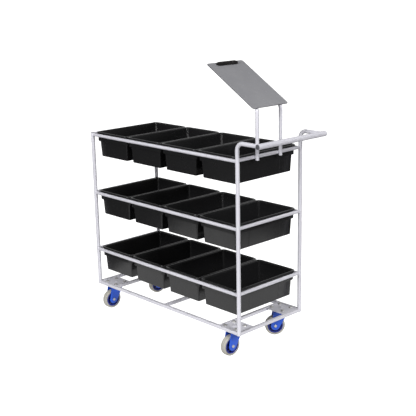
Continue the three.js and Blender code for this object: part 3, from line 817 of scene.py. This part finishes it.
def tub_profile(depth):
    """The tub's wall from its foot's middle round to its floor, as (inset, height over the rim's top)."""
    outside = [
        (BODY_FOOT + FOOT_RING + 0.001, -depth + FOOT_RECESS), (BODY_FOOT + FOOT_RING, -depth),
        (BODY_FOOT, -depth), (BODY_TOP, -WALL), (RIM_LIP + WALL, -WALL), (RIM_LIP + WALL, -SKIRT_FOOT),
        (RIM_LIP, -SKIRT_FOOT), (RIM_LIP, -RIM_DEPTH), (0.0, -RIM_DEPTH), (0.0, 0.0), (RIM_BEAD, 0.0),
        (BODY_TOP + WALL, -RIM_SLOPE), (BODY_FOOT + WALL, -depth + WALL),
        (BODY_FOOT + FLOOR_INSET, -depth + WALL),
    ]
    rounds = [
        0.0003, FOOT_ROUND, 0.001, 0.001, 0.0007, 0.0007, 0.0008, 0.0008, RIM_EDGE, 0.003, 0.002, FOOT_ROUND,
    ]
    return bent_path(outside, rounds, TUB_BEND_FACETS)


for tier in TIERS:
    for number in range(1, 5):
        name = f"{tier}_tub_{number}"
        low, high = reach(name)
        half = (high - low) / 2
        profile = tub_profile(high[2] - low[2])
        side_flats = np.linspace(0, 1, SIDE_STEPS + 1)[1:-1]
        sheet = moulded(half[0], half[1], RIM_CORNER, profile, FOOT_ROUND, CORNER_STEPS, side_flats)
        outer = (np.arange(len(sheet)) < WALL_ROWS)[:, None]
        on_end = np.abs(sheet[..., 0]) > half[0] - BODY_FOOT - RIB_MARGIN
        rib = np.exp(-(((np.abs(sheet[..., 1]) - RIB_PLACE) / RIB_WIDTH) ** 2)) * RIB_PROUD
        sheet[..., 0] += np.where(outer & on_end, np.sign(sheet[..., 0]) * rib, 0)
        sheet = sheet + (low + high) * (0.5, 0.5, 0) + high * Z
        shell = piece(name + "_shell", [sheet], tub_plastic, name, [name]).data
        handled = [max(0.0, 1 - (high[2] - vertex.co.z) / HANDLED_DEPTH) for vertex in shell.vertices]
        shell.attributes.new("handled", "FLOAT", "POINT").data.foreach_set("value", handled)

# Clipboard bracket. One 16 mm steel tube bent to a sloping U: two uprights outside the top rail, two arms.
# It is welded to the rail, its foot ends are rounded off, and it has the frame's powder coat.
BRACKET_RISE = 0.219
BRACKET_ARM = 0.25
BRACKET_BEND = 0.025
BRACKET_RADIUS = 0.008
FOOT_RISES = (0.0008, 0.0025)
FOOT_SHARES = (0.72, 0.93)
SEAM_SIDE = 0.0042
SEAM_REACH = 0.0055
SEAM_SIZE = 0.0024
SEAM_POINTS = 25
SEAM_FACETS = 12
SEAM_RIPPLE_SHARE = 0.12
SEAM_RIPPLES = 26
BOARD_TILT = math.radians(31.5)
SLOPE = np.array([math.cos(BOARD_TILT), 0, -math.sin(BOARD_TILT)])
FACE = np.array([math.sin(BOARD_TILT), 0, math.cos(BOARD_TILT)])

low, high = reach("clipboard_bracket")
bracket_x = high[0] - BRACKET_RADIUS
uprights = (low[1] + BRACKET_RADIUS, high[1] - BRACKET_RADIUS)
feet = [np.array([bracket_x, y, low[2]]) for y in uprights]
knees = [foot + BRACKET_RISE * Z for foot in feet]
heads = [knee - BRACKET_ARM * SLOPE for knee in knees]
bends = bent_path([feet[0], knees[0], heads[0], heads[1], knees[1], feet[1]], BRACKET_BEND)
first_rise, second_rise = FOOT_RISES
ends = [feet[0], feet[0] + first_rise * Z, feet[0] + second_rise * Z, *bends[1:-1],
        feet[1] + second_rise * Z, feet[1] + first_rise * Z, feet[1]]
rows = [0, *range(len(ends)), len(ends) - 1]
scale = [0, *FOOT_SHARES, *np.ones(len(ends) - 4), *FOOT_SHARES[::-1], 0]
tube = swept(circle(BRACKET_RADIUS), np.array(ends), X, rows, scale)
seams = []
contact_x = bracket_x - BRACKET_RADIUS
rail_height = middle("top_right_rail")[2]
for y in uprights:
    for side in (-1, 1):
        run = np.linspace(-1, 1, SEAM_POINTS)
        seam_y = y + side * SEAM_SIDE
        path = np.array([(contact_x, seam_y, rail_height + SEAM_REACH * share) for share in run])
        ripples = 1 + SEAM_RIPPLE_SHARE * np.cos(SEAM_RIPPLES * run)
        swell = SEAM_SIZE * np.sqrt(np.maximum(1 - run**4, 0)) * ripples
        seams.append(swept(circle(1.0, SEAM_FACETS), path, X, range(SEAM_POINTS), swell))
piece("clipboard_bracket_tube", [tube, *seams], silver_coat, "frame", ["clipboard_bracket"])

# Clipboard. A stiff A4 board with rounded corners, grey grained covering and a thin dark edge.
# It lies along the bracket's arms, 0.3 mm clear of them; how it is fastened isn't seen in the photo.
BOARD_HALF = (0.161, 0.11)
BOARD_CORNER = 0.01
BOARD_OVERHANG = 0.008
BOARD_UNDER = 0.0083
BOARD_THICKNESS = 0.003
EDGE_WIDTH = 0.0009
EDGE_ROUND = 0.0003
desk = np.array([bracket_x, sum(uprights) / 2, knees[0][2]])


def on_desk(sheet):
    """Local points (down the slope, across, out of the board's face) carried on to the sloping bracket."""
    return desk + sheet[..., :1] * SLOPE + sheet[..., 1:2] * Y + sheet[..., 2:] * FACE


board_cover = coated("grey_board_cover", "868689", "7e7e82", "97979b", (0.48, 0.62),
                     fine=1300.0, bump=0.25, level=0.6)
board_edging = coated("dark_board_edge", "5a5a5e", "515155", "7a7a7e", (0.5, 0.65), fine=1500.0)
board_centre = np.array([BOARD_OVERHANG - BOARD_HALF[0], 0, 0])
board_top = BOARD_UNDER + BOARD_THICKNESS
panel = soft_slab(BOARD_HALF[0] - EDGE_WIDTH / 2, BOARD_HALF[1] - EDGE_WIDTH / 2, BOARD_CORNER,
                  BOARD_UNDER + SKIN_GAP, board_top - SKIN_GAP)
piece("clipboard_panel", [on_desk(panel + board_centre)], board_cover, "frame", ["clipboard_board"])
edge_profile = np.array([
    (EDGE_WIDTH, BOARD_UNDER), (EDGE_ROUND, BOARD_UNDER), (0, BOARD_UNDER + EDGE_ROUND),
    (0, board_top - EDGE_ROUND), (EDGE_ROUND, board_top), (EDGE_WIDTH, board_top), (EDGE_WIDTH, BOARD_UNDER),
])
edge_ring = rounded_loops(*BOARD_HALF, BOARD_CORNER, edge_profile[:, 0], least=0.0005, steps=8, flats=(0.5,))
edge_height = np.broadcast_to(edge_profile[:, 1, None, None], (*edge_ring.shape[:2], 1))
edging = np.concatenate([edge_ring, edge_height], axis=-1) + board_centre
piece("clipboard_edging", [on_desk(edging)], board_edging, "frame")

# Clip. A black enamelled steel plate with two ears is riveted to the board's top edge and holds the pin.
# The lever, a curled sheet with a thumb tab, turns on the pin against a small coil spring.
CLIP_HALF = 0.062
CLIP_PLATE = 0.02
CLIP_SHEET = 0.0012
CLIP_MARGIN = 0.005
CLIP_EAR = 0.01
CLIP_PIN = 0.0015
CLIP_JAW = 0.011
CLIP_TAB = 0.008
CLIP_CORNER = 0.003
CLIP_EDGE = 0.0003
EAR_EDGE = 0.0002
PIN_FACETS = 24
WIRE_FACETS = 8
KNUCKLE_FACETS = 32
COIL_TURNS = 7
COIL_STEPS = 16
COIL_HALF = 0.007
COIL_CLEAR = 0.0009
COIL_WIRE = 0.0005
RIVET_SPREAD = 0.04
RIVET_INSET = 0.0035
LEVER_GAP = 0.0006
LEVER_COLUMNS = 41
TAB_TAPER = 0.12
KNUCKLE_LENGTH = 0.014
clip_low = BOARD_OVERHANG - 2 * BOARD_HALF[0] + CLIP_MARGIN
pin_x = clip_low + CLIP_PLATE / 2
plate_low = board_top + PART_GAP
pin_z = plate_low + CLIP_SHEET + PART_GAP + CLIP_PIN + PART_GAP + CLIP_SHEET

clip_enamel = coated("black_clip_enamel", "121010", "1a1818", "4d4a48", (0.22, 0.36),
                     metal=0.2, fine=1500.0, level=0.6)
pin_steel = coated("bright_pin_steel", "cfcfd2", "b9b9bc", "8a8a8c", (0.15, 0.3), metal=1.0, fine=2200.0)

plate_length = pin_x + CLIP_EAR / 2 - clip_low
plate_sheet = soft_slab(plate_length / 2, CLIP_HALF, CLIP_CORNER,
                        plate_low, plate_low + CLIP_SHEET, CLIP_EDGE)
plate_sheet = plate_sheet + (clip_low + plate_length / 2, 0, 0)
ear_height = pin_z + 2 * CLIP_PIN - plate_low
clip_sheets = [on_desk(plate_sheet)]
for side in (-1, 1):
    ear = soft_slab(CLIP_EAR / 2, ear_height / 2, CLIP_CORNER, 0, CLIP_SHEET, EAR_EDGE)
    upright = np.stack([ear[..., 0], ear[..., 2], ear[..., 1]], axis=-1)
    outer = CLIP_HALF - CLIP_SHEET if side > 0 else -CLIP_HALF
    clip_sheets.append(on_desk(upright + (pin_x, outer, plate_low + ear_height / 2)))
piece("clip_plate_sheet", clip_sheets, clip_enamel, "frame", ["clip_plate"])

pin_ends = np.array([(pin_x, -CLIP_HALF - SKIN_GAP, pin_z), (pin_x, CLIP_HALF + SKIN_GAP, pin_z)])
coil = np.linspace(0, 1, COIL_TURNS * COIL_STEPS + 1)
coil_radius = CLIP_PIN + COIL_CLEAR
coil_path = np.stack([pin_x + coil_radius * np.cos(2 * np.pi * COIL_TURNS * coil), COIL_HALF * (2 * coil - 1),
                      pin_z + coil_radius * np.sin(2 * np.pi * COIL_TURNS * coil)], axis=1)
steel = [closed_ends(circle(CLIP_PIN, PIN_FACETS), on_desk(pin_ends), FACE)]
steel.append(closed_ends(circle(COIL_WIRE, WIRE_FACETS), on_desk(coil_path), Y))
for y in (-RIVET_SPREAD, RIVET_SPREAD):
    rivet_place = on_desk(np.array([clip_low + RIVET_INSET, y, plate_low + CLIP_SHEET]))
    steel.append(turned([(0, 0), (0.0028, 0), (0.0022, 0.0007), (0, 0.001)], rivet_place, FACE, PIN_FACETS))
piece("clip_pin_and_spring", steel, pin_steel, "frame")

lever_half = CLIP_HALF - CLIP_SHEET - LEVER_GAP
crown_z = pin_z + CLIP_PIN + CLIP_SHEET
lever_line = bent_path([
    (pin_x - CLIP_TAB, crown_z + 0.0009), (pin_x - 0.002, crown_z - 0.0001),
    (pin_x + 0.0035, crown_z - 0.0004),
    (pin_x + CLIP_JAW - 0.0012, plate_low + CLIP_SHEET + 0.0006), (pin_x + CLIP_JAW, plate_low + 0.001),
], [0.004, 0.004, 0.001], 6)
across = np.linspace(-1, 1, LEVER_COLUMNS)
taper = np.clip((pin_x - lever_line[:, 0]) / CLIP_TAB, 0, 1)[:, None]
y = lever_half * across[None] * (1 - TAB_TAPER * taper**2)
down, out = (np.broadcast_to(lever_line[:, i : i + 1], y.shape) for i in (0, 1))
lever = np.stack([down, y, out], axis=-1)
lever_piece = piece("clip_lever_sheet", [on_desk(lever)], clip_enamel, "clip_lever", ["clip_lever"])
as_sheet(lever_piece, CLIP_SHEET, 0, CLIP_EDGE, even=False)
knuckles = []
for side in (-1, 1):
    inner = lever_half - KNUCKLE_LENGTH
    sleeve = np.array([(pin_x, side * lever_half, pin_z), (pin_x, side * inner, pin_z)])
    ring = circle(CLIP_PIN + PART_GAP + CLIP_SHEET, KNUCKLE_FACETS)
    knuckles.append(closed_ends(ring, on_desk(sleeve), FACE))
piece("clip_knuckles", knuckles, clip_enamel, "clip_lever")

# Floor, light and camera. Floor and backdrop are white to the camera only; to all else the floor is dark
# grey and the room dim. Four soft panels stand round the trolley, and one just over the floor shines up.
# The camera is solved from the photo, and the light is fitted to its tones.
CAMERA_PLACE = Vector((2.9405, -2.7338, 1.633))
CAMERA_TURN = math.radians(46.13)
CAMERA_PITCH = math.radians(14.48)
CAMERA_ROLL = math.radians(-0.99)
LENS = 75.98
SENSOR = 36.0
LENS_SHIFT = (-0.0168, -0.0087)
FLOOR_REACH = 400.0
FLOOR_GREY = "484848"
FLOOR_ROUGHNESS = 0.9
WHITE = "ffffff"
ROOM_GLOW = 0.15
BACKDROP_GLOW = 1.3

floor_mesh = bpy.data.meshes.new("floor")
floor_mesh.from_pydata([(-FLOOR_REACH, -FLOOR_REACH, 0), (FLOOR_REACH, -FLOOR_REACH, 0),
                       (FLOOR_REACH, FLOOR_REACH, 0), (-FLOOR_REACH, FLOOR_REACH, 0)], [], [(0, 1, 2, 3)])
floor = bpy.data.objects.new("floor", floor_mesh)
bpy.context.scene.collection.objects.link(floor)
floor_paint = bpy.data.materials.new("floor_white_to_camera")
floor_paint.use_nodes = True
floor_tree = floor_paint.node_tree
floor_shader = floor_tree.nodes["Principled BSDF"]
floor_shader.inputs["Base Color"].default_value = tone(FLOOR_GREY)
floor_shader.inputs["Roughness"].default_value = FLOOR_ROUGHNESS
floor_shader.inputs["Emission Color"].default_value = tone(WHITE)
seen = floor_tree.nodes.new("ShaderNodeLightPath").outputs["Is Camera Ray"]
wire(floor_tree, floor_shader.inputs["Emission Strength"], times(floor_tree, seen, BACKDROP_GLOW))
floor_mesh.materials.append(floor_paint)

world = bpy.data.worlds.new("studio")
bpy.context.scene.world = world
world.use_nodes = True
backdrop = world.node_tree.nodes["Background"]
backdrop.inputs["Color"].default_value = tone(WHITE)
seen = world.node_tree.nodes.new("ShaderNodeLightPath").outputs["Is Camera Ray"]
values = {"Value": seen, "To Min": ROOM_GLOW, "To Max": BACKDROP_GLOW}
glow = put(world.node_tree, "ShaderNodeMapRange", values)
wire(world.node_tree, backdrop.inputs["Strength"], glow.outputs["Result"])
bpy.context.scene.view_settings.view_transform = "Standard"


def soft_panel(name, place, target, size, power):
    """A square light panel that faces a target and that the camera doesn't see."""
    light = bpy.data.lights.new(name, "AREA")
    light.size = size
    light.energy = power
    panel = bpy.data.objects.new(name, light)
    panel.location = place
    panel.rotation_euler = (Vector(target) - Vector(place)).to_track_quat("-Z", "Y").to_euler()
    panel.visible_camera = False
    bpy.context.scene.collection.objects.link(panel)


soft_panel("front_panel", (0.4, -4.0, 2.6), (0.0, 0.0, 0.6), 1.4, 185)
soft_panel("right_panel", (4.2, -0.6, 2.6), (0.0, 0.0, 0.6), 1.4, 165)
soft_panel("rear_panel", (-3.2, 3.4, 1.6), (0.0, 0.0, 0.8), 3.5, 12)
soft_panel("back_panel", (-0.5, 4.4, 2.4), (0.0, 0.0, 0.6), 1.4, 45)
soft_panel("floor_panel", (0.1, -0.06, 0.002), (0.1, -0.06, 1.0), 1.8, 8)

right = np.array([math.cos(CAMERA_TURN), math.sin(CAMERA_TURN), 0])
forward = np.array([-math.sin(CAMERA_TURN) * math.cos(CAMERA_PITCH),
                    math.cos(CAMERA_TURN) * math.cos(CAMERA_PITCH), -math.sin(CAMERA_PITCH)])
upward = np.cross(right, forward)
camera_x = math.cos(CAMERA_ROLL) * right + math.sin(CAMERA_ROLL) * upward
camera_y = math.cos(CAMERA_ROLL) * upward - math.sin(CAMERA_ROLL) * right
lens = bpy.data.cameras.new("camera")
lens.lens = LENS
lens.sensor_width = SENSOR
lens.shift_x, lens.shift_y = LENS_SHIFT
camera = bpy.data.objects.new("camera", lens)
turn = Matrix((camera_x, camera_y, -forward)).transposed().to_4x4()
camera.matrix_world = Matrix.Translation(CAMERA_PLACE) @ turn
bpy.context.scene.collection.objects.link(camera)
bpy.context.scene.camera = camera
